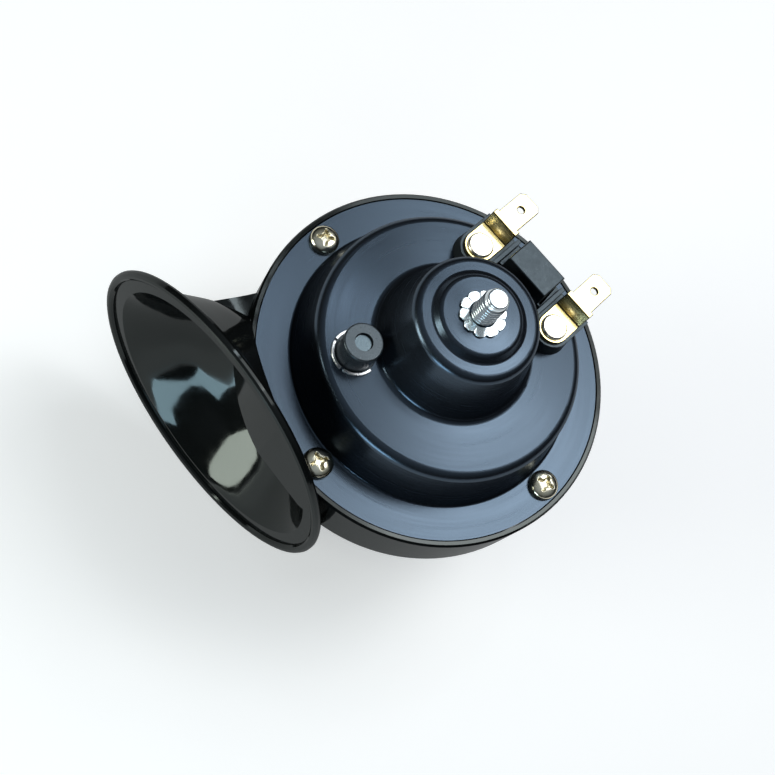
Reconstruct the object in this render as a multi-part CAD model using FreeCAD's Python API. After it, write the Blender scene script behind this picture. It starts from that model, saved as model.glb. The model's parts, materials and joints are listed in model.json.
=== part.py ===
import FreeCAD, Part
import math
import os

# Snail horn for a vehicle, in millimetres, +Z along the mounting stud.
# The origin is on the stud's axis, on top of the star washer, where the car's bracket is clamped.
# The bell opens towards -Y, the terminals stand on the +Y side.

V = FreeCAD.Vector
Z = V(0, 0, 1)

# Pressed steel cover
cover_sheet = 1.2
flange_radius = 42.6
flange_width = 7.9
drum_foot_radius = flange_radius - flange_width
drum_slope_run = 2.9
drum_shoulder_radius = drum_foot_radius - drum_slope_run
drum_height = 13.7
boss_foot_radius = 18.5
boss_shoulder_radius = 14.5
boss_height = 29.7
plateau_foot_radius = 10.8
plateau_edge_radius = 9.3
plateau_height = 31.2
foot_bend = 0.6
drum_bend = 2.2
boss_foot_bend = 1.6
boss_bend = 2.0
plateau_foot_bend = 0.7
plateau_bend = 1.3

# Stud, core and star washer
stud_radius = 3.0
stud_shank_radius = 2.4
stud_reach = 8.3
stud_chamfer = 0.9
stud_clearance = 0.1
washer_thickness = 1.0
washer_radius = 5.5
washer_ring_radius = 4.2
washer_teeth = 10
tooth_width = 2.7
tooth_twist = 10.0
tooth_thickness = 0.6
collar_radius = 7.2
core_radius = 6.6
air_gap = 0.9

# Clamped stack between the cover and the moulding
gasket_thickness = 0.5
gasket_inset = 6.8
gasket_bore = flange_radius - gasket_inset
diaphragm_sheet = 0.3
diaphragm_dish = 2.0
dish_inset = 9.8
dish_foot_radius = flange_radius - dish_inset
dish_flat_radius = 10.0
stack_clearance = 0.3
plate_thickness = 2.0
plate_recess = 0.8
plate_recess_inset = 8.8
plate_recess_radius = flange_radius - plate_recess_inset
throat_radius = 4.5

# Cover screws
screw_inset = 3.8
screw_circle = flange_radius - screw_inset
screw_count = 4
screw_radius = 1.9
screw_length = 11.0
screw_hole_gap = 0.3
screw_tip = 1.2
head_radius = 3.6
head_height = 2.4
head_edge = 0.9
recess_reach = 2.2
recess_width = 0.9
recess_depth = 1.5
boss_wall = 2.0
boss_floor = 1.6
pilot_gap = 0.05

# Moulded volute and bell
rim_gap = 0.3
rim_width = 1.3
rim_inner = flange_radius + rim_gap
rim_radius = rim_inner + rim_width
rim_rise = 0.2
rim_chamfer = 0.5
cup_depth = 15.9
cup_round = 2.6
cup_wall = 2.2
moulding_wall = 2.0
bell_radius = 39.0
bell_angle = 265.7
bell_offset = 22.1
bell_reach = 47.0
bell_drop = 18.15
bell_lip_radius = 1.15
bell_lip_sides = 12
bell_profile = (
    (0.47, 0.31), (0.55, 0.39), (0.62, 0.50), (0.70, 0.62),
    (0.79, 0.715), (0.87, 0.80), (0.94, 0.885), (0.976, 0.972),
)
open_rise = 1.5
disc_gap = 0.25
neck_half_width = 12.5
neck_share = 0.766
neck_growth = 0.72
neck_power = 2.2
neck_sections = 7
roof_start_share = 0.3
roof_end_share = 0.8
spiral_sweep = 330.0
spiral_cap = 0.04
spiral_start_radius = 7.0
spiral_start_half_width = 5.5
spiral_start_depth = 11.0
spiral_sections = 12
pocket_radius = 5.0
keel_corner = 2.6
keel_points = 12

# Coil
bobbin_wall = 1.0
bobbin_gap = 0.2
bobbin_flange = 1.2
bobbin_foot_radius = 15.2
bobbin_head_radius = 12.2
winding_foot_radius = 13.4
winding_head_radius = 11.8
yoke_sheet = 1.2
yoke_flat = 14.6
yoke_notch = 5.4

# Armature
spigot_radius = 3.4
armature_flange_radius = 12.5
armature_flange = 2.4
armature_radius = 6.2
clamp_washer_radius = 9.0
clamp_washer_sheet = 0.8
spigot_head_radius = 4.6
spigot_head = 1.0
push_gap = 0.45

# Contact breaker
breaker_inset = 6.3
breaker_radius = drum_shoulder_radius - breaker_inset
breaker_angle = 172.0
bracket_sheet = 1.2
bracket_drop = 2.4
bracket_width = 6.0
bracket_foot = 5.0
yoke_radius = breaker_radius - bracket_width / 2
insulator_radius = 3.2
insulator_sheet = 0.6
spacer_sheet = 1.2
fixed_arm_sheet = 0.6
leaf_sheet = 0.3
arm_width = 5.0
breaker_rivet_radius = 1.2
breaker_head_radius = 2.4
breaker_head = 0.8
contact_radius = 1.8
pusher_radius = 1.6
pusher_reach = 10.4
rivet_hole_gap = 0.1

# Adjuster
adjuster_radius = 23.8
adjuster_angle = 238.2
adjuster_cap_radius = 4.5
adjuster_cap_height = 6.6
adjuster_cap_round = 0.4
adjuster_bore = 2.1
bush_flange_radius = 5.5
bush_flange = 0.6
bush_radius = 3.2
bush_lip_radius = 4.2
bush_lip = 0.6
stake_notches = 3
stake_notch_width = 1.1
stake_notch_depth = 0.9
adjuster_screw_radius = 1.9
adjuster_recess = 0.8
fit_gap = 0.1

# Terminal block and terminals
rivet_pitch = 25.4
rivet_line = 20.0
block_height = 3.6
block_end_radius = 4.6
block_draft = 0.5
block_back = 28.6
block_bridge_front = 21.4
box_half_width = 6.0
box_front = 20.8
box_back = 28.5
box_height = 8.8
box_round = 0.4
rib_height = 5.4
rib_inner = 7.0
rib_sheet = 1.1
block_spigot_radius = 2.8
terminal_sheet = 0.8
terminal_pad_width = 7.7
terminal_step_line = 26.0
terminal_step_run = 0.5
terminal_step = 3.6
blade_width = 6.3
blade_tip = 36.8
blade_chamfer = 1.1
blade_hole_line = 32.6
blade_hole_radius = 0.9
rivet_radius = 1.5
rivet_head_radius = 3.15
rivet_head = 0.8
rivet_head_edge = 0.35
inner_plate_sheet = 1.0
inner_plate_radius = 4.4
inner_head_radius = 2.8
inner_head = 1.0

# Closest that two levels come and still count as one
same_level = 0.01

# Levels, each worked out from the one above it
seat_z = -washer_thickness
flange_z = seat_z - plateau_height
drum_z = flange_z + drum_height
boss_z = flange_z + boss_height
cover_under = flange_z - cover_sheet
drum_under = drum_z - cover_sheet
plateau_under = seat_z - cover_sheet
diaphragm_z = cover_under - gasket_thickness
lower_gasket_z = diaphragm_z - diaphragm_sheet
plate_z = lower_gasket_z - gasket_thickness
body_z = plate_z - plate_thickness
cup_floor = flange_z - cup_depth
bell_z = flange_z - bell_drop
dish_z = diaphragm_z + diaphragm_dish
armature_flange_z = dish_z + armature_flange
yoke_z = drum_under
bobbin_z = yoke_z
core_top = boss_z - cover_sheet
bobbin_top = core_top - bobbin_gap
stack_radius = flange_radius - stack_clearance
block_z = drum_z + block_height
terminal_z = block_z + terminal_sheet
blade_z = terminal_z + terminal_step
rib_z = drum_z + rib_height
box_z = drum_z + box_height
screw_hole_radius = screw_radius + screw_hole_gap
rivet_half = rivet_pitch / 2


def polar(radius, angle, z=0.0):
    """A point at a radius and an angle in degrees round the stud's axis."""
    turn = math.radians(angle)
    return V(radius * math.cos(turn), radius * math.sin(turn), z)


def cylinder(radius, low, high, x=0.0, y=0.0):
    return Part.makeCylinder(radius, high - low, V(x, y, low), Z)


def ring(outer, inner, low, high):
    return cylinder(outer, low, high).cut(cylinder(inner, low, high))


def block(x0, x1, y0, y1, z0, z1):
    return Part.makeBox(x1 - x0, y1 - y0, z1 - z0, V(x0, y0, z0))


def rounded_path(points, radii):
    """Edges of an open path in the XZ plane, with an arc at each inner corner whose radius isn't 0."""
    corners = [V(r, 0, z) for r, z in points]
    edges = []
    start = corners[0]
    for before, corner, after, radius in zip(corners, corners[1:], corners[2:], radii):
        back = (before - corner).normalize()
        ahead = (after - corner).normalize()
        half = back.getAngle(ahead) / 2
        length = radius / math.tan(half)
        enter = corner + back * length
        leave = corner + ahead * length
        edges.append(Part.LineSegment(start, enter).toShape())
        if radius > 0:
            peak = corner + (back + ahead).normalize() * (radius / math.sin(half) - radius)
            edges.append(Part.Arc(enter, peak, leave).toShape())
        start = leave
    edges.append(Part.LineSegment(start, corners[-1]).toShape())
    return edges


def offset_path(points, distance):
    """The same open path moved to its left by a distance, corner by corner."""
    vectors = [V(r, 0, z) for r, z in points]
    normals = []
    for a, b in zip(vectors, vectors[1:]):
        run = (b - a).normalize()
        normals.append(V(-run.z, 0, run.x))
    moved = [vectors[0] + normals[0] * distance]
    for corner, one, two in zip(vectors[1:-1], normals, normals[1:]):
        middle = (one + two).normalize()
        moved.append(corner + middle * (distance / middle.dot(one)))
    moved.append(vectors[-1] + normals[-1] * distance)
    return [(p.x, p.z) for p in moved]


def turned(points, radii=None):
    """A solid of revolution from a closed profile of (radius, height) corners."""
    if radii is None:
        outline = Part.makePolygon([V(r, 0, z) for r, z in points + points[:1]])
    else:
        closed = rounded_path(points, radii)
        last, first = [V(r, 0, z) for r, z in (points[-1], points[0])]
        closed.append(Part.makeLine(last, first))
        outline = Part.Wire(closed)
    return Part.Face(outline).revolve(V(0, 0, 0), Z, 360)


def pressed(points, bends, sheet):
    """A turned sheet: its outside is the path with round bends, and the metal lies to the path's left."""
    inner = offset_path(points, sheet)
    edges = rounded_path(points, bends)
    corners = [V(r, 0, z) for r, z in points[-1:] + inner[::-1] + points[:1]]
    edges += [Part.makeLine(a, b) for a, b in zip(corners, corners[1:])]
    return Part.Face(Part.Wire(edges)).revolve(V(0, 0, 0), Z, 360)


def slot(start, end, radius, low, high):
    """A flat strip with round ends from one point to another."""
    along = V(end.x - start.x, end.y - start.y, 0)
    length = along.Length
    body = Part.makeBox(length, 2 * radius, high - low, V(0, -radius, low))
    body.rotate(V(0, 0, 0), Z, math.degrees(math.atan2(along.y, along.x)))
    body.translate(V(start.x, start.y, 0))
    ends = [cylinder(radius, low, high, p.x, p.y) for p in (start, end)]
    return body.fuse(ends).removeSplitter()


def screw_places():
    return [polar(screw_circle, 360.0 * n / screw_count) for n in range(screw_count)]


def drilled(shape, places, radius, low, high):
    return shape.cut([cylinder(radius, low, high, p.x, p.y) for p in places])


adjuster_place = polar(adjuster_radius, adjuster_angle)
breaker_place = polar(breaker_radius, breaker_angle)
pusher_place = polar(pusher_reach, adjuster_angle)
rivet_places = [V(-rivet_half, rivet_line, 0), V(rivet_half, rivet_line, 0)]


# Cover
def cover():
    path = [
        (flange_radius, flange_z),
        (drum_foot_radius, flange_z),
        (drum_shoulder_radius, drum_z),
        (boss_foot_radius, drum_z),
        (boss_shoulder_radius, boss_z),
        (plateau_foot_radius, boss_z),
        (plateau_edge_radius, seat_z),
        (stud_radius + stud_clearance, seat_z),
    ]
    bends = [foot_bend, drum_bend, boss_foot_bend, boss_bend, plateau_foot_bend, plateau_bend]
    shell = pressed(path, bends, cover_sheet)
    shell = drilled(shell, screw_places(), screw_hole_radius, cover_under, flange_z)
    shell = drilled(shell, rivet_places, block_spigot_radius + fit_gap, drum_under, drum_z)
    return drilled(shell, [adjuster_place], bush_radius + fit_gap, drum_under, drum_z)


# Mounting stud in one piece with the coil's core
def pole_core():
    core_low = armature_top() + air_gap
    profile = [
        (0, core_low),
        (core_radius, core_low),
        (core_radius, core_top),
        (collar_radius, core_top),
        (collar_radius, plateau_under),
        (stud_shank_radius, plateau_under),
        (stud_shank_radius, 0),
        (stud_radius, 0),
        (stud_radius, stud_reach - stud_chamfer),
        (stud_radius - stud_chamfer, stud_reach),
        (0, stud_reach),
    ]
    return turned(profile)


def armature_top():
    """The armature's face stands inside the coil, level with the bobbin's lower flange."""
    return bobbin_z + bobbin_flange / 2


def star_washer():
    washer = ring(washer_ring_radius, stud_radius + stud_clearance, seat_z, seat_z + tooth_thickness)
    reach = washer_radius - washer_ring_radius
    overlap = (washer_ring_radius - stud_radius) / 2
    middle_z = seat_z + washer_thickness / 2
    teeth = []
    for n in range(washer_teeth):
        tooth = Part.makeBox(
            reach + overlap, tooth_width, tooth_thickness,
            V(washer_ring_radius - overlap, -tooth_width / 2, -tooth_thickness / 2),
        )
        tooth.rotate(V(0, 0, 0), V(1, 0, 0), tooth_twist)
        tooth.translate(V(0, 0, middle_z))
        tooth.rotate(V(0, 0, 0), Z, 360.0 * n / washer_teeth)
        teeth.append(tooth)
    slab = ring(washer_radius, stud_radius + stud_clearance, seat_z, 0.0)
    return washer.fuse(teeth).common(slab)


# Clamped stack
def gasket(top):
    body = ring(stack_radius, gasket_bore, top - gasket_thickness, top)
    return drilled(body, screw_places(), screw_hole_radius, top - gasket_thickness, top)


def diaphragm():
    path = [
        (stack_radius, diaphragm_z),
        (dish_foot_radius, diaphragm_z),
        (dish_flat_radius, dish_z),
        (spigot_radius, dish_z),
    ]
    under = offset_path(path, diaphragm_sheet)
    sheet = turned(path + under[::-1])
    return drilled(sheet, screw_places(), screw_hole_radius, diaphragm_z - diaphragm_sheet, diaphragm_z)


def sound_plate():
    plate = cylinder(stack_radius, body_z, plate_z)
    plate = plate.cut(cylinder(plate_recess_radius, plate_z - plate_recess, plate_z))
    plate = plate.cut(cylinder(throat_radius, body_z, plate_z))
    return drilled(plate, screw_places(), screw_hole_radius, body_z, plate_z)


# Moulded volute: a spiral channel that grows into a neck and a bell
bell_run = polar(1, bell_angle)
bell_side = polar(1, bell_angle - 90)
neck_start = bell_side * bell_offset
neck_half_height = bell_drop - (flange_z - body_z)
neck_length = bell_reach * neck_share
roof_z = body_z - moulding_wall
cover_reach = math.sqrt(rim_inner ** 2 - (bell_offset + neck_half_width) ** 2)
roof_start = cover_reach * roof_start_share
roof_run = cover_reach * roof_end_share - roof_start


def section_wire(centre, side, half_width, low, high):
    """A closed outline across the duct: a flat roof, upright sides and a rounded keel."""
    middle = (body_z - open_rise + low) / 2
    keel = []
    for n in range(keel_points + 1):
        turn = math.pi * n / keel_points
        across, drop = math.cos(turn), math.sin(turn)
        x = half_width * math.copysign(abs(across) ** (2 / keel_corner), across)
        z = middle - (middle - low) * abs(drop) ** (2 / keel_corner)
        keel.append(centre + side * x + V(0, 0, z))
    curve = Part.BSplineCurve()
    curve.interpolate(Points=keel, InitialTangent=-Z, FinalTangent=Z)
    near = centre + side * half_width + V(0, 0, high)
    far = centre - side * half_width + V(0, 0, high)
    lines = [Part.makeLine(a, b) for a, b in ((keel[-1], far), (far, near), (near, keel[0]))]
    return Part.Wire([curve.toShape()] + lines)


def spiral_outlines(inset, first):
    """Outlines from the throat to the neck; a share of 0 is the throat, 1 the neck."""
    outlines = []
    for n in range(spiral_sections + 1):
        share = first + (1 - first) * n / spiral_sections
        angle = bell_angle - 90 - spiral_sweep * (1 - share)
        swing = math.sin(math.pi * share / 2)
        radius = spiral_start_radius + (bell_offset - spiral_start_radius) * swing
        half_width = spiral_start_half_width + (neck_half_width - spiral_start_half_width) * share
        depth = spiral_start_depth + (2 * neck_half_height - spiral_start_depth) * share
        outlines.append(section_wire(
            polar(radius, angle), polar(1, angle), half_width - inset,
            body_z - depth + inset, body_z + open_rise,
        ))
    return outlines


def neck_outlines(inset, roof):
    """Outlines of the straight neck, widening towards the bell under a roof of its own height."""
    outlines = []
    for n in range(neck_sections + 1):
        station = neck_length * n / neck_sections
        widening = 1 + neck_growth * (station / neck_length) ** neck_power
        closed = min(max((station - roof_start) / roof_run, 0), 1)
        outlines.append(section_wire(
            neck_start + bell_run * station, bell_side, neck_half_width * widening - inset,
            body_z - 2 * neck_half_height + inset, body_z + open_rise + (roof - body_z - open_rise) * closed,
        ))
    return outlines


def flare(inset):
    """The turned bell; an inset moves its outline in along its own normals."""
    outline = [V(bell_radius * r, 0, bell_reach * s) for s, r in bell_profile]
    points = []
    for n, corner in enumerate(outline):
        run = outline[min(n + 1, len(outline) - 1)] - outline[max(n - 1, 0)]
        points.append(corner + V(-run.z, 0, run.x).normalize() * inset)
    curve = Part.BSplineCurve()
    curve.interpolate(points)
    first, last = points[0], points[-1]
    end = last.z + inset
    throat = V(0, 0, first.z)
    edges = [curve.toShape(), Part.makeLine(V(0, 0, end), throat), Part.makeLine(throat, first)]
    if inset > 0:
        edges.append(Part.makeLine(last, V(last.x, 0, end)))
    edges.append(Part.makeLine(V(last.x, 0, end), V(0, 0, end)))
    bell = Part.Face(Part.Wire(Part.__sortEdges__(edges))).revolve(V(0, 0, 0), Z, 360)
    bell.Placement = FreeCAD.Placement(neck_start + V(0, 0, bell_z), FreeCAD.Rotation(Z, bell_run))
    return bell


def bell_lip():
    """A bead round the mouth, with enough sides to pass for round."""
    points = []
    for n in range(bell_lip_sides):
        turn = 2 * math.pi * (n + 0.5) / bell_lip_sides
        out, along = math.cos(turn), math.sin(turn)
        radius = bell_radius + bell_lip_radius * (out - 1)
        points.append((radius, bell_reach + bell_lip_radius * (along - 1)))
    lip = turned(points)
    lip.Placement = FreeCAD.Placement(neck_start + V(0, 0, bell_z), FreeCAD.Rotation(Z, bell_run))
    return lip


def volute_horn():
    wall_inner = rim_radius - cup_wall
    top = flange_z + rim_rise
    outer = turned([(0, top), (rim_radius, top), (rim_radius, cup_floor), (0, cup_floor)], [0, cup_round])
    edge = turned([(rim_radius - rim_chamfer, top), (rim_radius, top), (rim_radius, top - rim_chamfer)])
    hollow = cylinder(wall_inner, cup_floor + moulding_wall, plate_z)
    seat = cylinder(rim_inner, body_z, top)
    disc_space = seat.fuse(cylinder(rim_radius + disc_gap, top - rim_chamfer, bell_radius))
    ducts = [
        Part.makeLoft(spiral_outlines(0, -spiral_cap), True, False),
        Part.makeLoft(neck_outlines(0, body_z), True, False),
        flare(0),
    ]
    pocket = cylinder(pocket_radius + moulding_wall, cup_floor, body_z)
    body = outer.cut([edge, hollow, seat])
    body = body.fuse([duct.cut(disc_space) for duct in ducts] + [pocket])
    hugging = cylinder(rim_radius + disc_gap + moulding_wall, roof_z, bell_radius)
    bores = [
        Part.makeLoft(spiral_outlines(moulding_wall, 0), True, False),
        Part.makeLoft(neck_outlines(moulding_wall, roof_z), True, False),
        flare(moulding_wall).cut(hugging),
        cylinder(pocket_radius, cup_floor + moulding_wall, body_z),
    ]
    for bore in bores:
        body = body.cut(bore)
    pilot_low = flange_z - screw_length - pilot_gap
    boss_radius = screw_radius + boss_wall
    bosses = [cylinder(boss_radius, pilot_low - boss_floor, body_z, p.x, p.y) for p in screw_places()]
    body = body.fuse([bell_lip()] + bosses)
    return drilled(body, screw_places(), screw_radius + pilot_gap, pilot_low, body_z)


# Coil
def bobbin():
    bore = core_radius + fit_gap
    tube = bore + bobbin_wall
    profile = [
        (bore, bobbin_z),
        (bobbin_foot_radius, bobbin_z),
        (bobbin_foot_radius, bobbin_z + bobbin_flange),
        (tube, bobbin_z + bobbin_flange),
        (tube, bobbin_top - bobbin_flange),
        (bobbin_head_radius, bobbin_top - bobbin_flange),
        (bobbin_head_radius, bobbin_top),
        (bore, bobbin_top),
    ]
    return turned(profile)


def winding():
    tube = core_radius + fit_gap + bobbin_wall
    low = bobbin_z + bobbin_flange
    high = bobbin_top - bobbin_flange
    return turned([(tube, low), (winding_foot_radius, low), (winding_head_radius, high), (tube, high)])


def yoke_plate():
    plate = ring(yoke_radius, core_radius + 2 * fit_gap, yoke_z - yoke_sheet, yoke_z)
    plate = plate.cut(block(-yoke_radius, yoke_radius, yoke_flat, yoke_radius, yoke_z - yoke_sheet, yoke_z))
    return drilled(plate, [adjuster_place], yoke_notch, yoke_z - yoke_sheet, yoke_z)


# Armature, riveted through the diaphragm
def armature():
    washer_low = dish_z - diaphragm_sheet - clamp_washer_sheet
    head_low = washer_low - spigot_head
    profile = [
        (0, head_low),
        (spigot_head_radius, head_low),
        (spigot_head_radius, washer_low),
        (spigot_radius, washer_low),
        (spigot_radius, dish_z),
        (clamp_washer_radius, dish_z),
        (armature_flange_radius, dish_z + armature_flange / 2),
        (armature_flange_radius, armature_flange_z),
        (armature_radius, armature_flange_z),
        (armature_radius, armature_top()),
        (0, armature_top()),
    ]
    return turned(profile)


def clamp_washer():
    top = dish_z - diaphragm_sheet
    return ring(clamp_washer_radius, spigot_radius, top - clamp_washer_sheet, top)


# Contact breaker, carried under the drum by a bracket
breaker_hole_radius = breaker_rivet_radius + rivet_hole_gap
bracket_low = drum_under - bracket_drop - bracket_sheet
upper_insulator_low = bracket_low - insulator_sheet
fixed_arm_low = upper_insulator_low - fixed_arm_sheet
spacer_low = fixed_arm_low - spacer_sheet
leaf_low = spacer_low - leaf_sheet
lower_insulator_low = leaf_low - insulator_sheet


def breaker_bracket():
    turn = breaker_angle + 90
    half = bracket_width / 2
    web_start = bracket_foot - bracket_sheet
    shelf_end = bracket_foot + bracket_width
    foot = block(0, bracket_foot, -half, half, drum_under - bracket_sheet, drum_under)
    web = block(web_start, bracket_foot, -half, half, bracket_low, drum_under)
    shelf = block(web_start, shelf_end, -half, half, bracket_low, bracket_low + bracket_sheet)
    shape = foot.fuse([web, shelf])
    shape.rotate(V(0, 0, 0), Z, turn)
    home = V(breaker_place.x, breaker_place.y, 0)
    back = polar(bracket_foot + half, turn)
    shape.translate(home - back)
    shape = drilled(shape, [breaker_place], breaker_hole_radius, bracket_low, drum_under)
    return shape.removeSplitter()


def insulators():
    places = [
        (upper_insulator_low, insulator_sheet),
        (spacer_low, spacer_sheet),
        (lower_insulator_low, insulator_sheet),
    ]
    rings = []
    for low, height in places:
        disc = cylinder(insulator_radius, low, low + height, breaker_place.x, breaker_place.y)
        rings.append(drilled(disc, [breaker_place], breaker_hole_radius, low, low + height))
    return Part.makeCompound(rings)


def fixed_arm():
    high = fixed_arm_low + fixed_arm_sheet
    arm = slot(breaker_place, adjuster_place, arm_width / 2, fixed_arm_low, high)
    return drilled(arm, [breaker_place], breaker_hole_radius, fixed_arm_low, high)


def moving_leaf():
    high = leaf_low + leaf_sheet
    leaf = slot(breaker_place, adjuster_place, arm_width / 2, leaf_low, high)
    finger = slot(adjuster_place, pusher_place, arm_width / 2, leaf_low, high)
    leaf = leaf.fuse(finger).removeSplitter()
    return drilled(leaf, [breaker_place], breaker_hole_radius, leaf_low, high)


def contact_points():
    middle = (fixed_arm_low + spacer_low) / 2
    upper = cylinder(contact_radius, middle, fixed_arm_low, adjuster_place.x, adjuster_place.y)
    lower = cylinder(contact_radius, spacer_low, middle, adjuster_place.x, adjuster_place.y)
    return Part.makeCompound([upper, lower])


def leaf_pusher():
    return cylinder(pusher_radius, armature_flange_z + push_gap, leaf_low, pusher_place.x, pusher_place.y)


def breaker_rivet():
    x, y = breaker_place.x, breaker_place.y
    shelf_z = bracket_low + bracket_sheet
    shank = cylinder(breaker_rivet_radius, lower_insulator_low, shelf_z, x, y)
    top = cylinder(breaker_head_radius, shelf_z, shelf_z + breaker_head, x, y)
    foot = cylinder(breaker_head_radius, lower_insulator_low - breaker_head, lower_insulator_low, x, y)
    return shank.fuse([top, foot]).removeSplitter()


def boss_fillet_space():
    """The ring on the drum that the boss's foot bend takes up."""
    return cylinder(boss_foot_radius + boss_foot_bend, drum_z, drum_z + boss_foot_bend)


# Adjuster: staked bush, black sleeve and set screw
def adjuster_bush():
    x, y = adjuster_place.x, adjuster_place.y
    low = drum_under - bush_lip
    high = drum_z + bush_flange
    flange = cylinder(bush_flange_radius, drum_z, high, x, y)
    body = cylinder(bush_radius, drum_under, drum_z, x, y)
    lip = cylinder(bush_lip_radius, low, drum_under, x, y)
    bush = flange.fuse([body, lip])
    bush = drilled(bush, [adjuster_place], adjuster_screw_radius + fit_gap, low, high)
    notches = []
    for n in range(stake_notches):
        notch = block(
            bush_flange_radius - stake_notch_depth, bush_flange_radius + stake_notch_depth,
            -stake_notch_width / 2, stake_notch_width / 2, drum_z, high,
        )
        notch.rotate(V(0, 0, 0), Z, adjuster_angle + 120 + 360.0 * n / stake_notches)
        notch.translate(V(x, y, 0))
        notches.append(notch)
    bush = bush.cut(notches).cut(boss_fillet_space())
    return bush.removeSplitter()


def adjuster_sleeve():
    low = drum_z + bush_flange
    high = low + adjuster_cap_height
    profile = [
        (adjuster_bore, low),
        (adjuster_cap_radius, low),
        (adjuster_cap_radius, high),
        (adjuster_bore, high),
    ]
    sleeve = turned(profile, [adjuster_cap_round / 2, adjuster_cap_round])
    sleeve.translate(V(adjuster_place.x, adjuster_place.y, 0))
    return sleeve


def adjuster_screw():
    high = drum_z + bush_flange + adjuster_cap_height - adjuster_recess
    low = fixed_arm_low + fixed_arm_sheet
    return cylinder(adjuster_screw_radius, low, high, adjuster_place.x, adjuster_place.y)


# Terminal block
def block_pad(x):
    """A pad with a round end about a rivet, a little wider at its foot."""
    foot_radius = block_end_radius + block_draft
    end = Part.makeCone(foot_radius, block_end_radius, block_height, V(x, rivet_line, drum_z), Z)
    back = block(x - block_end_radius, x + block_end_radius, rivet_line, block_back, drum_z, block_z)
    return end.fuse(back)


def terminal_block():
    body = block_pad(-rivet_half).fuse(block_pad(rivet_half))
    bridge = block(-rivet_half, rivet_half, block_bridge_front, block_back, drum_z, block_z)
    box = block(-box_half_width, box_half_width, box_front, box_back, drum_z, box_z)
    top_edges = [e for e in box.Edges if abs(e.BoundBox.ZMin - box_z) < same_level]
    box = box.makeFillet(box_round, top_edges)
    ribs = []
    for side in (-1, 1):
        near, far = sorted((side * rib_inner, side * (rib_inner + rib_sheet)))
        ribs.append(block(near, far, rivet_line - block_end_radius / 2, block_back, drum_z, rib_z))
    spigots = [cylinder(block_spigot_radius, drum_under, drum_z, p.x, p.y) for p in rivet_places]
    body = body.fuse([bridge, box] + ribs + spigots).cut(boss_fillet_space())
    return drilled(body, rivet_places, rivet_radius + rivet_hole_gap, drum_under, block_z).removeSplitter()


def terminal(x):
    """A brass tab: a pad under the rivet, a step and a flat blade with a latching hole."""
    pad_half = terminal_pad_width / 2
    blade_half = blade_width / 2
    step_end = terminal_step_line + terminal_step_run
    pad = cylinder(pad_half, block_z, terminal_z, x, rivet_line)
    pad = pad.fuse(block(x - pad_half, x + pad_half, rivet_line, terminal_step_line, block_z, terminal_z))
    side = [
        V(x, terminal_step_line - terminal_sheet, block_z),
        V(x, terminal_step_line, block_z),
        V(x, step_end + terminal_sheet, blade_z - terminal_sheet),
        V(x, step_end + 2 * terminal_sheet, blade_z - terminal_sheet),
        V(x, step_end + 2 * terminal_sheet, blade_z),
        V(x, step_end, blade_z),
        V(x, terminal_step_line - terminal_sheet, terminal_z),
    ]
    riser = Part.Face(Part.makePolygon(side + side[:1])).extrude(V(terminal_pad_width, 0, 0))
    riser.translate(V(-pad_half, 0, 0))
    tip = [
        V(x - blade_half, step_end, 0),
        V(x + blade_half, step_end, 0),
        V(x + blade_half, blade_tip - blade_chamfer, 0),
        V(x + blade_half - blade_chamfer, blade_tip, 0),
        V(x - blade_half + blade_chamfer, blade_tip, 0),
        V(x - blade_half, blade_tip - blade_chamfer, 0),
    ]
    blade = Part.Face(Part.makePolygon(tip + tip[:1])).extrude(V(0, 0, terminal_sheet))
    blade.translate(V(0, 0, blade_z - terminal_sheet))
    tab = pad.fuse([riser, blade])
    tab = drilled(tab, [V(x, rivet_line, 0)], rivet_radius + rivet_hole_gap, block_z, terminal_z)
    latch = V(x, blade_hole_line, 0)
    return drilled(tab, [latch], blade_hole_radius, blade_z - terminal_sheet, blade_z).removeSplitter()


def terminal_rivet(x):
    low = drum_under - inner_plate_sheet
    profile = [
        (0, low - inner_head),
        (inner_head_radius, low - inner_head),
        (inner_head_radius, low),
        (rivet_radius, low),
        (rivet_radius, terminal_z),
        (rivet_head_radius, terminal_z),
        (rivet_head_radius, terminal_z + rivet_head - rivet_head_edge),
        (rivet_head_radius - rivet_head_edge, terminal_z + rivet_head),
        (0, terminal_z + rivet_head),
    ]
    rivet = turned(profile)
    rivet.translate(V(x, rivet_line, 0))
    return rivet


def inner_plate():
    low = drum_under - inner_plate_sheet
    plate = slot(rivet_places[0], rivet_places[1], inner_plate_radius, low, drum_under)
    return drilled(plate, rivet_places, rivet_radius + rivet_hole_gap, low, drum_under)


# Cover screws
def cover_screw(place):
    tip = flange_z - screw_length
    profile = [
        (0, tip),
        (screw_radius - screw_tip, tip),
        (screw_radius, tip + screw_tip),
        (screw_radius, flange_z),
        (head_radius, flange_z),
        (head_radius, flange_z + head_height - head_edge),
        (head_radius - head_edge, flange_z + head_height),
        (0, flange_z + head_height),
    ]
    screw = turned(profile)
    top = flange_z + head_height
    for length, width in ((recess_reach, recess_width / 2), (recess_width / 2, recess_reach)):
        screw = screw.cut(block(-length, length, -width, width, top - recess_depth, top))
    screw.translate(place)
    return screw


def cover_screws():
    return Part.makeCompound([cover_screw(p) for p in screw_places()])


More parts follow.
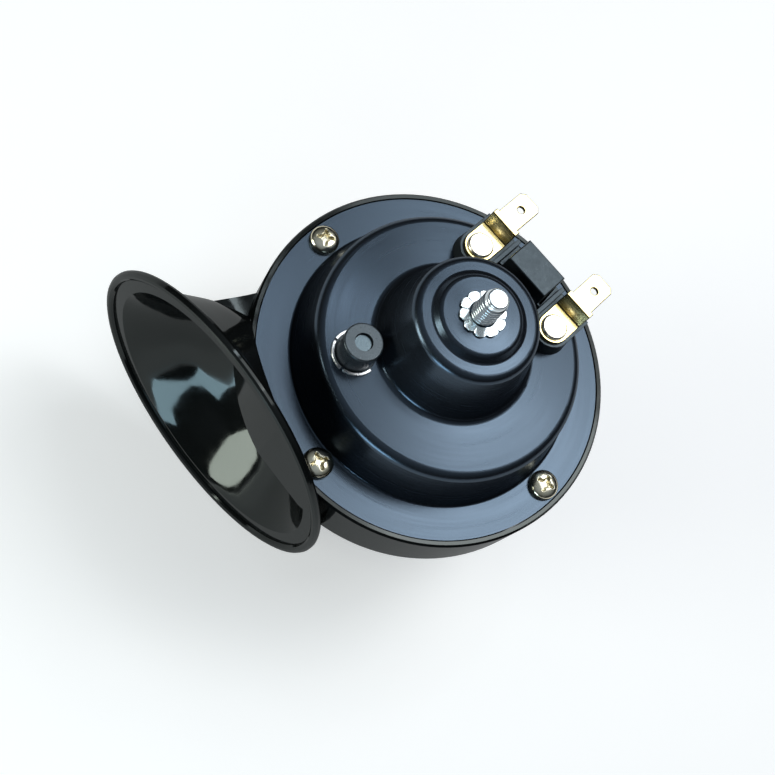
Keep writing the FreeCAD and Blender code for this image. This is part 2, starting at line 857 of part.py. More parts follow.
nodes = {
    "cover": cover(),
    "pole_core": pole_core(),
    "star_washer": star_washer(),
    "upper_gasket": gasket(cover_under),
    "diaphragm": diaphragm(),
    "lower_gasket": gasket(lower_gasket_z),
    "sound_plate": sound_plate(),
    "volute_horn": volute_horn(),
    "bobbin": bobbin(),
    "winding": winding(),
    "yoke_plate": yoke_plate(),
    "armature": armature(),
    "clamp_washer": clamp_washer(),
    "breaker_bracket": breaker_bracket(),
    "breaker_insulators": insulators(),
    "fixed_contact_arm": fixed_arm(),
    "moving_contact_leaf": moving_leaf(),
    "contact_points": contact_points(),
    "leaf_pusher": leaf_pusher(),
    "breaker_rivet": breaker_rivet(),
    "adjuster_bush": adjuster_bush(),
    "adjuster_sleeve": adjuster_sleeve(),
    "adjuster_screw": adjuster_screw(),
    "terminal_block": terminal_block(),
    "terminal_left": terminal(-rivet_half),
    "terminal_right": terminal(rivet_half),
    "terminal_rivet_left": terminal_rivet(-rivet_half),
    "terminal_rivet_right": terminal_rivet(rivet_half),
    "inner_insulating_plate": inner_plate(),
    "cover_screws": cover_screws(),
}

os.makedirs("parts", exist_ok=True)
for name, shape in nodes.items():
    shape.exportStep(os.path.join("parts", name + ".step"))
    print(name, len(shape.Solids), shape.isValid(), round(shape.Volume, 2))
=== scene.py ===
import json
import math

import bmesh
import bpy
from mathutils import Matrix, Vector

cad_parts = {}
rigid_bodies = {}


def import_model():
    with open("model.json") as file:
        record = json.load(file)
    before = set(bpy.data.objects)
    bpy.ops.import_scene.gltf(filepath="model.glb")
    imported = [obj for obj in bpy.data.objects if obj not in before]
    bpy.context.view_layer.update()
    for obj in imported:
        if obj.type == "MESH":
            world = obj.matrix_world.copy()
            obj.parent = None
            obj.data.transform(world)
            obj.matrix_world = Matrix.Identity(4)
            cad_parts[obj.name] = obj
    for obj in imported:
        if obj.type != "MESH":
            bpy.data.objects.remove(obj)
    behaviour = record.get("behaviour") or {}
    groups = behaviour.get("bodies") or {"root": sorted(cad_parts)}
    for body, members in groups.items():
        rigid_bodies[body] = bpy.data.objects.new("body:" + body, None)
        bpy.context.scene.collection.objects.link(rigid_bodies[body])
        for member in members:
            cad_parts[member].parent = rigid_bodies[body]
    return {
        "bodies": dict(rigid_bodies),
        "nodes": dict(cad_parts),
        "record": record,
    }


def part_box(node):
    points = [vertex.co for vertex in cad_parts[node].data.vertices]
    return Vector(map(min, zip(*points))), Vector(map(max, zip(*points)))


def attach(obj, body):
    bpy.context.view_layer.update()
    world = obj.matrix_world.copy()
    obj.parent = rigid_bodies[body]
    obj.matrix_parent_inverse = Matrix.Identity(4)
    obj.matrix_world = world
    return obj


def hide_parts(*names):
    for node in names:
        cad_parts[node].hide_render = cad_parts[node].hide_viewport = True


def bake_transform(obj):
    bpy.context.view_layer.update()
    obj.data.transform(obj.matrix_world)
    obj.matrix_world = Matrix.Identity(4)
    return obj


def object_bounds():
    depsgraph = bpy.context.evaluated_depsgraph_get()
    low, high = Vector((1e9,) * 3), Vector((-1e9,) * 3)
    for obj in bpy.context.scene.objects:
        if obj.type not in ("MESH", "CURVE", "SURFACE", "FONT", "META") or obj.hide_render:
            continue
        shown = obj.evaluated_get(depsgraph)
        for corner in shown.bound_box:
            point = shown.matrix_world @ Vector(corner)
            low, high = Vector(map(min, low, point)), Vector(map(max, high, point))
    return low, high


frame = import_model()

nodes = frame["nodes"]
root = next(name for name in frame["bodies"] if name != "armature")
cad_low, cad_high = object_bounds()
MM = 0.001

# Sizes in millimetres that the CAD part also has
SEAT_Z = -1.0
FLANGE_Z = -32.2
STUD_TOP = 8.3
STUD_RADIUS = 3.0
STUD_SHANK_RADIUS = 2.4
CORE_RADIUS = 6.6
COLLAR_RADIUS = 7.2
HEAD_RADIUS = 3.6
RECESS_REACH = 2.2
SCREW_RADIUS = 1.9
SCREW_LENGTH = 11.0
WASHER_RADIUS = 5.5
WASHER_TEETH = 10
BUSH_HEIGHT = 0.6

# Thread and core, in millimetres; the flanks in thread heights, and thread heights a pitch
THREAD_ROOT = 2.45
THREAD_PITCH = 1.0
THREAD_START = 0.15
THREAD_FADE = 1.6
CREST_CUT = 0.03
FLANK_PEAK = 1.25
FLANK_STEEPNESS = 3.2
POINT_PLAIN = 0.55
POINT_ROUND = 0.5
COLLAR_LOW = -3.7
COLLAR_HIGH = -2.2
CORE_TOP = 0.2

# Screw heads, their cross recess and the plain shank, in millimetres
HEAD_HEIGHT = 2.35
HEAD_SIDE = 0.75
HEAD_FOOT = 0.15
HEAD_FOOT_INSET = 0.12
CROWN_FULLNESS = 2.6
CROWN_SPACING = 0.85
RECESS_DEPTH = 1.3
RECESS_END = 0.55
RECESS_HALF_WIDTH = 0.62
RECESS_TAPER = 0.12
RECESS_WALL = 0.3
HUB_RADIUS = 1.15
HUB_WALL = 0.4
SHANK_PLAIN = 9.8
SHANK_POINT = 0.7

# Washer's teeth, in millimetres
WASHER_BORE = 3.15
WASHER_NOTCH = 4.5
WASHER_TWIST = 0.62
WASHER_HALF_SHEET = 0.2
WASHER_GAP = 0.01
TOOTH_FULLNESS = 0.45

# Adjuster's bush, in millimetres and radians
BUSH_BORE = 2.05
BUSH_NECK = 3.15
BUSH_NECK_DEPTH = 1.8
BUSH_BASE_HEIGHT = 0.35
ARC_INNER = 4.85
ARC_OUTER = 5.45
ARC_EDGE = 0.12
ARC_SPACING = 1.45
ARC_HALF = 0.66
ARC_STEP = 0.06
FULL_RING = math.tau - 0.001

# Edge rounds in millimetres, then what counts as one corner, a flat and a sharp edge
BLADE_ROUND = 0.2
RIVET_ROUND = 0.12
BLOCK_ROUND = 0.12
SAME_CORNER = 0.01
FLAT_ANGLE = 0.02
SHARP_ANGLE = 0.5


# Noise: the stretch of its values that is used, and how finely it is broken up
NOISE_LOW = 0.3
NOISE_HIGH = 0.7
NOISE_ROUGHNESS = 0.55
BROAD_SHARE = 0.18
BROAD_DETAIL = 3.0
FINE_DETAIL = 5.0
RING_DETAIL = 6.0


# Materials
def new_material(name):
    mat = bpy.data.materials.new(name)
    mat.use_nodes = True
    tree = mat.node_tree
    tree.nodes.clear()
    out = tree.nodes.new("ShaderNodeOutputMaterial")
    shader = tree.nodes.new("ShaderNodeBsdfPrincipled")
    tree.links.new(shader.outputs[0], out.inputs[0])
    return mat, tree, shader


def worked_out(tree, kind, operation):
    """A node that works out one operation on numbers or vectors."""
    node = tree.nodes.new(kind)
    node.operation = operation
    return node


def noise_field(tree, place, scale, detail):
    """A noise over a place that another node gives."""
    field = tree.nodes.new("ShaderNodeTexNoise")
    field.inputs["Scale"].default_value = scale
    field.inputs["Detail"].default_value = detail
    tree.links.new(place, field.inputs["Vector"])
    return field


def noise(tree, scale, detail, stretch=(1, 1, 1)):
    """A noise in the piece's own frame, in cycles a metre."""
    coord = tree.nodes.new("ShaderNodeTexCoord")
    mapping = tree.nodes.new("ShaderNodeMapping")
    mapping.inputs["Scale"].default_value = stretch
    tree.links.new(coord.outputs["Object"], mapping.inputs["Vector"])
    field = noise_field(tree, mapping.outputs[0], scale, detail)
    field.inputs["Roughness"].default_value = NOISE_ROUGHNESS
    return field.outputs["Fac"]


def ring_noise(tree, across, along):
    """A noise in cycles a metre across and a radian along, as turning or pressing leaves it."""
    coord = tree.nodes.new("ShaderNodeTexCoord")
    parts = tree.nodes.new("ShaderNodeSeparateXYZ")
    radius = worked_out(tree, "ShaderNodeVectorMath", "LENGTH")
    angle = worked_out(tree, "ShaderNodeMath", "ARCTAN2")
    place = tree.nodes.new("ShaderNodeCombineXYZ")
    scaled = worked_out(tree, "ShaderNodeVectorMath", "MULTIPLY")
    scaled.inputs[1].default_value = (across, along, across)
    tree.links.new(coord.outputs["Object"], parts.inputs[0])
    tree.links.new(coord.outputs["Object"], radius.inputs[0])
    tree.links.new(parts.outputs["Y"], angle.inputs[0])
    tree.links.new(parts.outputs["X"], angle.inputs[1])
    tree.links.new(radius.outputs["Value"], place.inputs["X"])
    tree.links.new(angle.outputs[0], place.inputs["Y"])
    tree.links.new(parts.outputs["Z"], place.inputs["Z"])
    tree.links.new(place.outputs[0], scaled.inputs[0])
    return noise_field(tree, scaled.outputs[0], 1.0, RING_DETAIL).outputs["Fac"]


def spread(tree, value, start, end, low, high):
    """The value's stretch from start to end, mapped onto low to high."""
    node = tree.nodes.new("ShaderNodeMapRange")
    node.inputs["From Min"].default_value = start
    node.inputs["From Max"].default_value = end
    node.inputs["To Min"].default_value = low
    node.inputs["To Max"].default_value = high
    tree.links.new(value, node.inputs["Value"])
    return node.outputs[0]


def tint(tree, value, colours, start, end):
    """A ramp between two colours over the value's stretch from start to end."""
    ramp = tree.nodes.new("ShaderNodeValToRGB")
    for stop, position, colour in zip(ramp.color_ramp.elements, (start, end), colours):
        stop.position = position
        stop.color = (*colour, 1)
    tree.links.new(value, ramp.inputs["Fac"])
    return ramp.outputs["Color"]


def bump(tree, shader, height, depth):
    """A relief of its own depth in metres, on top of the relief that is there."""
    node = tree.nodes.new("ShaderNodeBump")
    node.inputs["Distance"].default_value = depth
    tree.links.new(height, node.inputs["Height"])
    if shader.inputs["Normal"].links:
        tree.links.new(shader.inputs["Normal"].links[0].from_socket, node.inputs["Normal"])
    tree.links.new(node.outputs[0], shader.inputs["Normal"])


def coned_flats(tree, shader, slope, reach):
    """The lean that pressing leaves on flats round the stud's axis, out to a radius."""
    coord = tree.nodes.new("ShaderNodeTexCoord")
    flat = worked_out(tree, "ShaderNodeVectorMath", "MULTIPLY")
    flat.inputs[1].default_value = (1, 1, 0)
    radius = worked_out(tree, "ShaderNodeVectorMath", "LENGTH")
    tree.links.new(coord.outputs["Object"], flat.inputs[0])
    tree.links.new(flat.outputs[0], radius.inputs[0])
    bump(tree, shader, spread(tree, radius.outputs["Value"], 0.0, reach, slope * reach, 0.0), 1.0)


def dull_part(tree, shader, colour, gloss_share):
    """Fine dust and wear: a share of the surface has no gloss of its own."""
    dull = tree.nodes.new("ShaderNodeBsdfDiffuse")
    dull.inputs["Color"].default_value = (*colour, 1)
    mixed = tree.nodes.new("ShaderNodeMixShader")
    mixed.inputs["Fac"].default_value = gloss_share
    out = next(n for n in tree.nodes if n.type == "OUTPUT_MATERIAL")
    tree.links.new(dull.outputs[0], mixed.inputs[1])
    tree.links.new(shader.outputs[0], mixed.inputs[2])
    tree.links.new(mixed.outputs[0], out.inputs[0])


def surface(
        name, colours, rough, grain, depth, metallic=0.0, specular=0.5, painted_reflection_tint=(1, 1, 1), ior=1.5,
        stretch=(1, 1, 1), rings=None, lean=None, gloss_share=1.0,
):
    """A finish with uneven colour, uneven gloss and a fine relief."""
    mat, tree, shader = new_material(name)
    broad = noise(tree, grain * BROAD_SHARE, BROAD_DETAIL)
    fine = ring_noise(tree, *rings) if rings else noise(tree, grain, FINE_DETAIL, stretch)
    colour = tint(tree, broad, colours, NOISE_LOW, NOISE_HIGH)
    roughness = spread(tree, fine, NOISE_LOW, NOISE_HIGH, *rough)
    tree.links.new(colour, shader.inputs["Base Color"])
    tree.links.new(roughness, shader.inputs["Roughness"])
    shader.inputs["Metallic"].default_value = metallic
    shader.inputs["IOR"].default_value = ior
    shader.inputs["Specular IOR Level"].default_value = specular
    # The specular tint is a painted reflection colour: it turns the reflections cool, standing in for the
    # colour of the light they show.
    shader.inputs["Specular Tint"].default_value = (*painted_reflection_tint, 1)
    bump(tree, shader, fine, depth)
    if lean:
        coned_flats(tree, shader, *lean)
    if gloss_share < 1.0:
        dull_part(tree, shader, colours[0], gloss_share)
    return mat


# Finishes: two colours, two roughnesses, grain in cycles a metre, depth of relief in metres,
# and for the pressed cover the noise round its axis and its lean, as a slope out to a radius
# The reflection tints below are painted reflection colour, cool or greenish, standing in for the light that
# the gloss reflects.
FINISHES = {
    "cover_black": dict(
        colours=((0.006, 0.007, 0.009), (0.012, 0.014, 0.018)), rough=(0.22, 0.28), grain=900,
        depth=0.0000008, painted_reflection_tint=(0.56, 0.76, 1.0), ior=2.6, rings=(1500, 1.2), lean=(0.08, 0.0325),
        gloss_share=0.37,
    ),
    "horn_plastic": dict(
        colours=((0.004, 0.0045, 0.0045), (0.008, 0.009, 0.009)), rough=(0.05, 0.11), grain=320,
        depth=0.000002, painted_reflection_tint=(0.92, 1.0, 0.98), ior=2.0, gloss_share=0.25,
    ),
    "sealing_lacquer": dict(
        colours=((0.07, 0.105, 0.13), (0.12, 0.17, 0.2)), rough=(0.15, 0.35), grain=1800,
        depth=0.00002, specular=1.0, painted_reflection_tint=(0.7, 0.9, 1.0),
    ),
    "zinc": dict(
        colours=((0.68, 0.73, 0.76), (0.82, 0.88, 0.9)), rough=(0.14, 0.26), grain=1100,
        depth=0.000006, metallic=1.0,
    ),
    "yellow_zinc": dict(
        colours=((0.62, 0.54, 0.34), (0.86, 0.84, 0.72)), rough=(0.12, 0.28), grain=900,
        depth=0.000008, metallic=1.0,
    ),
    "brass": dict(
        colours=((0.8, 0.66, 0.3), (0.88, 0.76, 0.42)), rough=(0.16, 0.3), grain=2400,
        depth=0.0000015, metallic=1.0, stretch=(0.05, 1, 1),
    ),
    # Painted shade: a near-black finish for the rounded blade edges and hole rims, which draws them as dark
    # outlines.
    "painted_edge_shade": dict(
        colours=((0.02, 0.014, 0.005), (0.05, 0.036, 0.014)), rough=(0.35, 0.5), grain=1500,
        depth=0.000004, metallic=1.0,
    ),
    "rivet_brass": dict(
        colours=((0.8, 0.72, 0.58), (0.9, 0.86, 0.76)), rough=(0.2, 0.34), grain=1200,
        depth=0.00001, metallic=1.0,
    ),
    "bare_steel": dict(
        colours=((0.6, 0.61, 0.62), (0.8, 0.8, 0.8)), rough=(0.22, 0.4), grain=1600,
        depth=0.00002, metallic=1.0,
    ),
    "plain_steel": dict(
        colours=((0.35, 0.36, 0.37), (0.5, 0.5, 0.5)), rough=(0.3, 0.5), grain=1200,
        depth=0.00001, metallic=1.0,
    ),
    "sleeve_black": dict(
        colours=((0.012, 0.014, 0.016), (0.024, 0.028, 0.032)), rough=(0.24, 0.36), grain=1400,
        depth=0.000006, specular=0.7, painted_reflection_tint=(0.75, 0.9, 1.0),
    ),
    "block_plastic": dict(
        colours=((0.008, 0.009, 0.01), (0.016, 0.018, 0.02)), rough=(0.26, 0.4), grain=1300,
        depth=0.000006, specular=0.6, painted_reflection_tint=(0.7, 0.88, 1.0),
    ),
    "gasket": dict(
        colours=((0.02, 0.02, 0.02), (0.05, 0.05, 0.05)), rough=(0.6, 0.8), grain=900, depth=0.00002,
    ),
    "spring_steel": dict(
        colours=((0.4, 0.41, 0.45), (0.55, 0.56, 0.6)), rough=(0.2, 0.35), grain=900,
        depth=0.000004, metallic=1.0,
    ),
    "bobbin_plastic": dict(
        colours=((0.6, 0.57, 0.48), (0.72, 0.7, 0.6)), rough=(0.4, 0.55), grain=900, depth=0.00001,
    ),
    "copper_wire": dict(
        colours=((0.4, 0.12, 0.04), (0.62, 0.24, 0.1)), rough=(0.25, 0.4), grain=900,
        depth=0.00003, metallic=1.0, stretch=(0.1, 0.1, 3),
    ),
    "insulation": dict(
        colours=((0.16, 0.07, 0.03), (0.26, 0.12, 0.06)), rough=(0.45, 0.6), grain=1200, depth=0.00001,
    ),
}
MATERIALS = {name: surface(name, **finish) for name, finish in FINISHES.items()}

slots = {entry["node"]: entry["material_slot"] for entry in frame["record"]["subparts"]}
for name, obj in nodes.items():
    obj.data.materials.clear()
    obj.data.materials.append(MATERIALS[slots[name]])


# Meshes
def show(name, data):
    """A new object in the scene."""
    obj = bpy.data.objects.new(name, data)
    bpy.context.scene.collection.objects.link(obj)
    return obj


def add_mesh(name, verts, faces, slot_name, smooth=True):
    """A piece from corners in millimetres, with its faces turned outwards."""
    mesh = bpy.data.meshes.new(name)
    mesh.from_pydata([tuple(c * MM for c in v) for v in verts], [], faces)
    mesh.materials.append(MATERIALS[slot_name])
    obj = show(name, mesh)
    work = bmesh.new()
    work.from_mesh(mesh)
    bmesh.ops.recalc_face_normals(work, faces=work.faces)
    work.to_mesh(mesh)
    work.free()
    for face in mesh.polygons:
        face.use_smooth = smooth
    return obj


def clamped(value, low=0.0, high=1.0):
    return min(max(value, low), high)


def polar(radius, angle, centre=(0, 0)):
    return centre[0] + radius * math.cos(angle), centre[1] + radius * math.sin(angle)


def level_ring(radius, z, around, centre=(0, 0)):
    """The corners of one level ring."""
    return [(*polar(radius, math.tau * n / around, centre), z) for n in range(around)]


def bands(rings, around, start=0):
    """Four-sided faces between rings of corners that follow one another."""
    faces = []
    for ring in range(rings - 1):
        for n in range(around):
            a = start + ring * around + n
            b = start + ring * around + (n + 1) % around
            faces.append((a, b, b + around, a + around))
    return faces


def end_faces(rings, around):
    """The two faces that close the first and the last ring."""
    return [tuple(range(around)), tuple((rings - 1) * around + n for n in range(around))]


def turned(profile, around, centre=(0, 0)):
    """Corners and faces of a profile of radius and height turned round an upright axis."""
    verts = []
    for radius, z in profile:
        verts += level_ring(radius, z, around, centre)
    return verts, bands(len(profile), around) + end_faces(len(profile), around)


def joined(parts):
    """One list of corners and faces from several."""
    verts, faces = [], []
    for more_verts, more_faces in parts:
        start = len(verts)
        verts += more_verts
        faces += [tuple(start + n for n in face) for face in more_faces]
    return verts, faces


# Stud with its rolled thread
def thread_depth(turns):
    """Height over the root for a share of one pitch: a flat root, two flanks and a narrow crest."""
    return clamped(FLANK_PEAK - abs(turns % 1.0 - 0.5) * FLANK_STEEPNESS)


def threaded_stud():
    """Rings of corners up the stud, whose radius follows the thread and then the rounded point."""
    around, rows_a_turn = 72, 16
    length = STUD_TOP - THREAD_START
    rows = int(length / THREAD_PITCH * rows_a_turn)
    height = STUD_RADIUS - CREST_CUT - THREAD_ROOT
    verts = []
    for row in range(rows + 1):
        z = THREAD_START + length * row / rows
        fade = clamped((STUD_TOP - POINT_PLAIN - z) / THREAD_FADE)
        over = z - STUD_TOP + POINT_ROUND
        for n in range(around):
            radius = THREAD_ROOT + height * thread_depth(z / THREAD_PITCH - n / around) * fade
            if over > 0:
                radius = THREAD_ROOT - POINT_ROUND + math.sqrt(max(POINT_ROUND ** 2 - over ** 2, 0.0))
            verts.append((*polar(radius, math.tau * n / around), z))
    return verts, bands(rows + 1, around) + end_faces(rows + 1, around)


stud = add_mesh("stud_thread", *threaded_stud(), "zinc")
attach(stud, root)

core_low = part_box("pole_core")[0]
core_profile = [
    (CORE_RADIUS, core_low.z / MM), (CORE_RADIUS, COLLAR_LOW), (COLLAR_RADIUS, COLLAR_LOW),
    (COLLAR_RADIUS, COLLAR_HIGH), (STUD_SHANK_RADIUS, COLLAR_HIGH), (STUD_SHANK_RADIUS, CORE_TOP),
]
core = add_mesh("core_body", *turned(core_profile, around=96), "zinc")
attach(core, root)
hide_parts("pole_core")


# Cover screws: pan heads with a cross recess
def recess_depth(x, y):
    """A cross that narrows with depth, wider at its middle, as a screwdriver's tip needs."""
    share = clamped((HUB_RADIUS - math.hypot(x, y)) / HUB_WALL)
    for along, across in ((abs(x), abs(y)), (abs(y), abs(x))):
        reach = clamped((RECESS_REACH - along) / RECESS_END)
        width = clamped((RECESS_HALF_WIDTH - RECESS_TAPER * along - across) / RECESS_WALL)
        share = max(share, reach * width)
    return RECESS_DEPTH * share


def crown_height(radius):
    """The head's domed top without its recess."""
    return HEAD_SIDE + (HEAD_HEIGHT - HEAD_SIDE) * (1 - (radius / HEAD_RADIUS) ** CROWN_FULLNESS) ** 0.5


def pan_head(centre, turn):
    """Rings from the flange up the side and over the crown to its middle."""
    rings, around = 34, 96
    side = ((HEAD_RADIUS - HEAD_FOOT_INSET, 0.0), (HEAD_RADIUS, HEAD_FOOT), (HEAD_RADIUS, HEAD_SIDE))
    verts = []
    for radius, z in side:
        verts += level_ring(radius, z, around)
    for ring in range(1, rings):
        radius = HEAD_RADIUS * (1 - ring / rings) ** CROWN_SPACING
        for n in range(around):
            angle = math.tau * n / around
            depth = recess_depth(*polar(radius, angle - turn))
            verts.append((*polar(radius, angle), crown_height(radius) - depth))
    verts.append((0.0, 0.0, crown_height(0.0) - recess_depth(0.0, 0.0)))
    levels = len(side) + rings - 1
    tip, top = levels * around, (levels - 1) * around
    faces = bands(levels, around)
    faces += [(top + n, top + (n + 1) % around, tip) for n in range(around)]
    faces.append(tuple(range(around)))
    return [(x + centre[0], y + centre[1], z + FLANGE_Z) for x, y, z in verts], faces


def shank(centre):
    """The part of a screw under its head, with a plain point."""
    profile = [
        (SCREW_RADIUS, FLANGE_Z),
        (SCREW_RADIUS, FLANGE_Z - SHANK_PLAIN),
        (SHANK_POINT, FLANGE_Z - SCREW_LENGTH),
    ]
    return turned(profile, around=32, centre=centre)


screw_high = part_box("cover_screws")[1]
screw_circle = screw_high.x / MM - HEAD_RADIUS
screw_turns = (0.35, 1.0, 0.75, 1.2)
screw_parts = []
for n, turn in enumerate(screw_turns):
    place = polar(screw_circle, math.tau / len(screw_turns) * n)
    screw_parts += [pan_head(place, turn), shank(place)]
screws = add_mesh("cover_screw_heads", *joined(screw_parts), "yellow_zinc")
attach(screws, root)
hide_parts("cover_screws")


# Star washer with twisted teeth shaped like petals
def star_washer():
    """Two layers of rings from the bore to the teeth's edge, closed along both edges."""
    rings, around = 14, 400
    verts = []
    for side in (1, -1):
        for ring in range(rings + 1):
            for n in range(around):
                angle = math.tau * n / around
                lobe = abs(math.sin(WASHER_TEETH * angle / 2)) ** TOOTH_FULLNESS
                edge = WASHER_NOTCH + (WASHER_RADIUS - WASHER_NOTCH) * lobe
                radius = WASHER_BORE + (edge - WASHER_BORE) * ring / rings
                lift = clamped((radius - WASHER_BORE) / (WASHER_RADIUS - WASHER_BORE))
                twist = (WASHER_TEETH * angle / math.tau) % 1.0 - 0.5
                z = SEAT_Z / 2 + WASHER_TWIST * twist * lift * lobe + side * WASHER_HALF_SHEET
                verts.append((*polar(radius, angle), clamped(z, SEAT_Z + WASHER_GAP, -WASHER_GAP)))
    layer = (rings + 1) * around
    faces = bands(rings + 1, around) + bands(rings + 1, around, layer)
    for edge_start in (0, rings * around):
        for n in range(around):
            a, b = edge_start + n, edge_start + (n + 1) % around
            faces.append((a, b, layer + b, layer + a))
    return verts, faces


washer = add_mesh("star_washer_teeth", *star_washer(), "zinc")
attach(washer, root)
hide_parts("star_washer")


# Terminals and their block, with the small rounds that pressing and moulding leave
def rounded_copy(name, node, width, segments=3, edge=None):
    """The node's own shape with its sharp edges rounded over."""
    mesh = nodes[node].data.copy()
    work = bmesh.new()
    work.from_mesh(mesh)
    bmesh.ops.remove_doubles(work, verts=work.verts, dist=SAME_CORNER * MM)
    bmesh.ops.dissolve_limit(work, angle_limit=FLAT_ANGLE, verts=work.verts, edges=work.edges)
    work.to_mesh(mesh)
    work.free()
    obj = show(name, mesh)
    rounding = obj.modifiers.new("rounding", "BEVEL")
    rounding.limit_method = "ANGLE"
    rounding.angle_limit = SHARP_ANGLE
    rounding.width = width * MM
    rounding.segments = segments
    rounding.use_clamp_overlap = False
    # An edge finish, where given, paints the rounds as dark lines of painted shade.
    if edge:
        mesh.materials.append(MATERIALS[edge])
        rounding.material = 1
    for face in mesh.polygons:
        face.use_smooth = False
    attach(obj, root)
    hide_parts(node)


for side in ("left", "right"):
    # The blades' rounded edges take the painted edge shade, a dark outline.
    rounded_copy("blade_" + side, "terminal_" + side, BLADE_ROUND, edge="painted_edge_shade")
    rounded_copy("rivet_" + side, "terminal_rivet_" + side, RIVET_ROUND)
rounded_copy("block_body", "terminal_block", BLOCK_ROUND, segments=2)


# Adjuster's staked bush: a dark base with a bright ring crimped up in three arcs
def arc_ring(inner, outer, low, high, centre, start, end):
    """A stretch of a ring, as corners and faces."""
    steps = max(int((end - start) / ARC_STEP), 2)
    section = ((inner, low), (outer, low), (outer, high - ARC_EDGE), (outer - ARC_EDGE, high), (inner, high))
    verts = []
    for n in range(steps + 1):
        angle = start + (end - start) * n / steps
        verts += [(*polar(radius, angle, centre), z) for radius, z in section]
    return verts, bands(steps + 1, len(section)) + end_faces(steps + 1, len(section))


sleeve_low, sleeve_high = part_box("adjuster_sleeve")
adjuster = ((sleeve_low.x + sleeve_high.x) / 2 / MM, (sleeve_low.y + sleeve_high.y) / 2 / MM)
drum_z = sleeve_low.z / MM - BUSH_HEIGHT
facing = math.atan2(adjuster[1], adjuster[0])
arcs = []
for n in (-1, 0, 1):
    middle = facing + n * ARC_SPACING
    arcs.append(arc_ring(
        ARC_INNER, ARC_OUTER, drum_z, drum_z + BUSH_HEIGHT, adjuster, middle - ARC_HALF, middle + ARC_HALF,
    ))
bush_ring = add_mesh("adjuster_bush_ring", *joined(arcs), "bare_steel", smooth=False)
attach(bush_ring, root)
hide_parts("adjuster_bush")
bush_base = add_mesh(
    "adjuster_bush_base",
    *joined([
        arc_ring(BUSH_BORE, BUSH_NECK, drum_z - BUSH_NECK_DEPTH, drum_z, adjuster, 0, FULL_RING),
        arc_ring(BUSH_BORE, ARC_INNER, drum_z, drum_z + BUSH_BASE_HEIGHT, adjuster, 0, FULL_RING),
    ]),
    "sleeve_black", smooth=False,
)
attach(bush_base, root)


# Diaphragm: a still copy of its mesh with the transform baked in, in place of the CAD part (the real one's
# rim stays clamped in the stack while its middle moves with the armature)
flexing = show("diaphragm_sheet", nodes["diaphragm"].data.copy())
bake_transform(flexing)
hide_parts("diaphragm")


# Camera, from a fit of the photograph's rings and screws
camera_data = bpy.data.cameras.new("camera")
camera = show("camera", camera_data)
camera_data.sensor_width = 36.0
camera_data.lens = 57.757
camera_data.clip_start = 0.01
camera_data.clip_end = 20.0
camera.matrix_world = Matrix((
    (0.66541947, -0.74583594, 0.03075185, 0.00629884),
    (0.68025257, 0.58891438, -0.43639006, -0.13910883),
    (0.30736519, 0.31130147, 0.89923191, 0.22726196),
    (0, 0, 0, 1),
))
bpy.context.scene.camera = camera


# Floor, in metres: a pale plane that reaches far beyond the part
FLOOR_DROP = 0.002
FLOOR_HALF = 9.0
FLOOR_COLOUR = (0.82, 0.82, 0.82)
FLOOR_DARKEST = 0.99
FLOOR_GRAIN = 40
FLOOR_LIFT = 0.41


def stage_material(name):
    """A pale floor that keeps the shadow; the camera and mirrors see it a little lighter."""
    mat, tree, shader = new_material(name)
    tree.nodes.remove(shader)
    out = next(n for n in tree.nodes if n.type == "OUTPUT_MATERIAL")
    path = tree.nodes.new("ShaderNodeLightPath")
    diffuse = tree.nodes.new("ShaderNodeBsdfDiffuse")
    colours = (FLOOR_COLOUR, tuple(c * FLOOR_DARKEST for c in FLOOR_COLOUR))
    colour = tint(tree, noise(tree, FLOOR_GRAIN, BROAD_DETAIL), colours, NOISE_LOW, NOISE_HIGH)
    tree.links.new(colour, diffuse.inputs["Color"])
    seen = path.outputs["Is Camera Ray"]
    for ray in ("Is Glossy Ray", "Is Transmission Ray"):
        either = worked_out(tree, "ShaderNodeMath", "MAXIMUM")
        tree.links.new(seen, either.inputs[0])
        tree.links.new(path.outputs[ray], either.inputs[1])
        seen = either.outputs[0]
    level = worked_out(tree, "ShaderNodeMath", "MULTIPLY")
    level.inputs[1].default_value = FLOOR_LIFT
    tree.links.new(seen, level.inputs[0])
    glow = tree.nodes.new("ShaderNodeEmission")
    tree.links.new(level.outputs[0], glow.inputs["Strength"])
    both = tree.nodes.new("ShaderNodeAddShader")
    tree.links.new(diffuse.outputs[0], both.inputs[0])
    tree.links.new(glow.outputs[0], both.inputs[1])
    tree.links.new(both.outputs[0], out.inputs[0])
    return mat


floor_z = cad_low.z - FLOOR_DROP
corners = ((-1, -1), (1, -1), (1, 1), (-1, 1))
floor_mesh = bpy.data.meshes.new("floor")
floor_mesh.from_pydata([(x * FLOOR_HALF, y * FLOOR_HALF, floor_z) for x, y in corners], [], [(0, 1, 2, 3)])
floor_mesh.materials.append(stage_material("floor"))
floor = show("floor", floor_mesh)


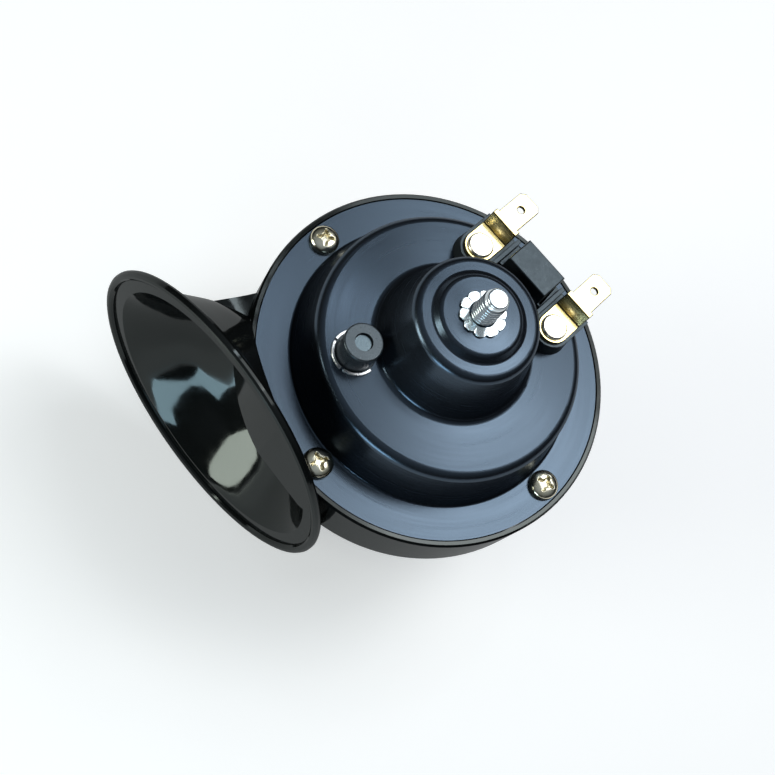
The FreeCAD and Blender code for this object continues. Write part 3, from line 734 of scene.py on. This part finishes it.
# World: a dim cool sky, dark near the horizon and below it, and brightest overhead
SKY_START = 0.35
SKY_COLOURS = ((0.01, 0.012, 0.014), (0.5, 0.56, 0.62))
SKY_STRENGTH = 0.6

world = bpy.data.worlds.new("world")
bpy.context.scene.world = world
world.use_nodes = True
sky_tree = world.node_tree
background = sky_tree.nodes["Background"]
coords = sky_tree.nodes.new("ShaderNodeTexCoord")
split = sky_tree.nodes.new("ShaderNodeSeparateXYZ")
sky_tree.links.new(coords.outputs["Generated"], split.inputs[0])
sky_colour = tint(sky_tree, split.outputs["Z"], SKY_COLOURS, SKY_START, 1.0)
sky_tree.links.new(sky_colour, background.inputs["Color"])
background.inputs["Strength"].default_value = SKY_STRENGTH


# Lamps: name, place, what it faces, width and height, all in metres, then watts and colour
LAMPS = (
    ("overhead_top", (-0.11, 0.42, 0.5), (0, 0, -0.03), (0.14, 0.16), 0.24, (0.9, 0.96, 1.0)),
    ("overhead", (0.1, 0.29, 0.5), (0, 0, -0.03), (0.38, 0.42), 1.2, (0.97, 0.99, 1.0)),
    ("overhead_side", (-0.16, 0.2, 0.5), (-0.04, -0.02, -0.03), (0.07, 0.07), 0.11, (0.85, 0.93, 1.0)),
    ("overhead_core", (0.07, 0.24, 0.47), (0, 0, -0.03), (0.16, 0.17), 0.45, (0.97, 0.99, 1.0)),
    ("front_warm", (-0.37, -0.49, 0.09), (-0.02, -0.04, -0.06), (0.25, 0.26), 2.3, (0.95, 1.0, 0.9)),
    ("front_cool", (0.14, -0.6, 0.0), (-0.03, -0.04, -0.07), (0.26, 0.17), 1.25, (0.6, 0.85, 1.0)),
)
for name, place, target, size, power, colour in LAMPS:
    lamp = bpy.data.lights.new(name, "AREA")
    lamp.shape = "RECTANGLE"
    lamp.size, lamp.size_y = size
    lamp.energy = power
    lamp.color = colour
    stand = show(name, lamp)
    stand.location = place
    stand.rotation_euler = (Vector(target) - Vector(place)).to_track_quat("-Z", "Y").to_euler()

scene = bpy.context.scene
scene.view_settings.view_transform = "Standard"
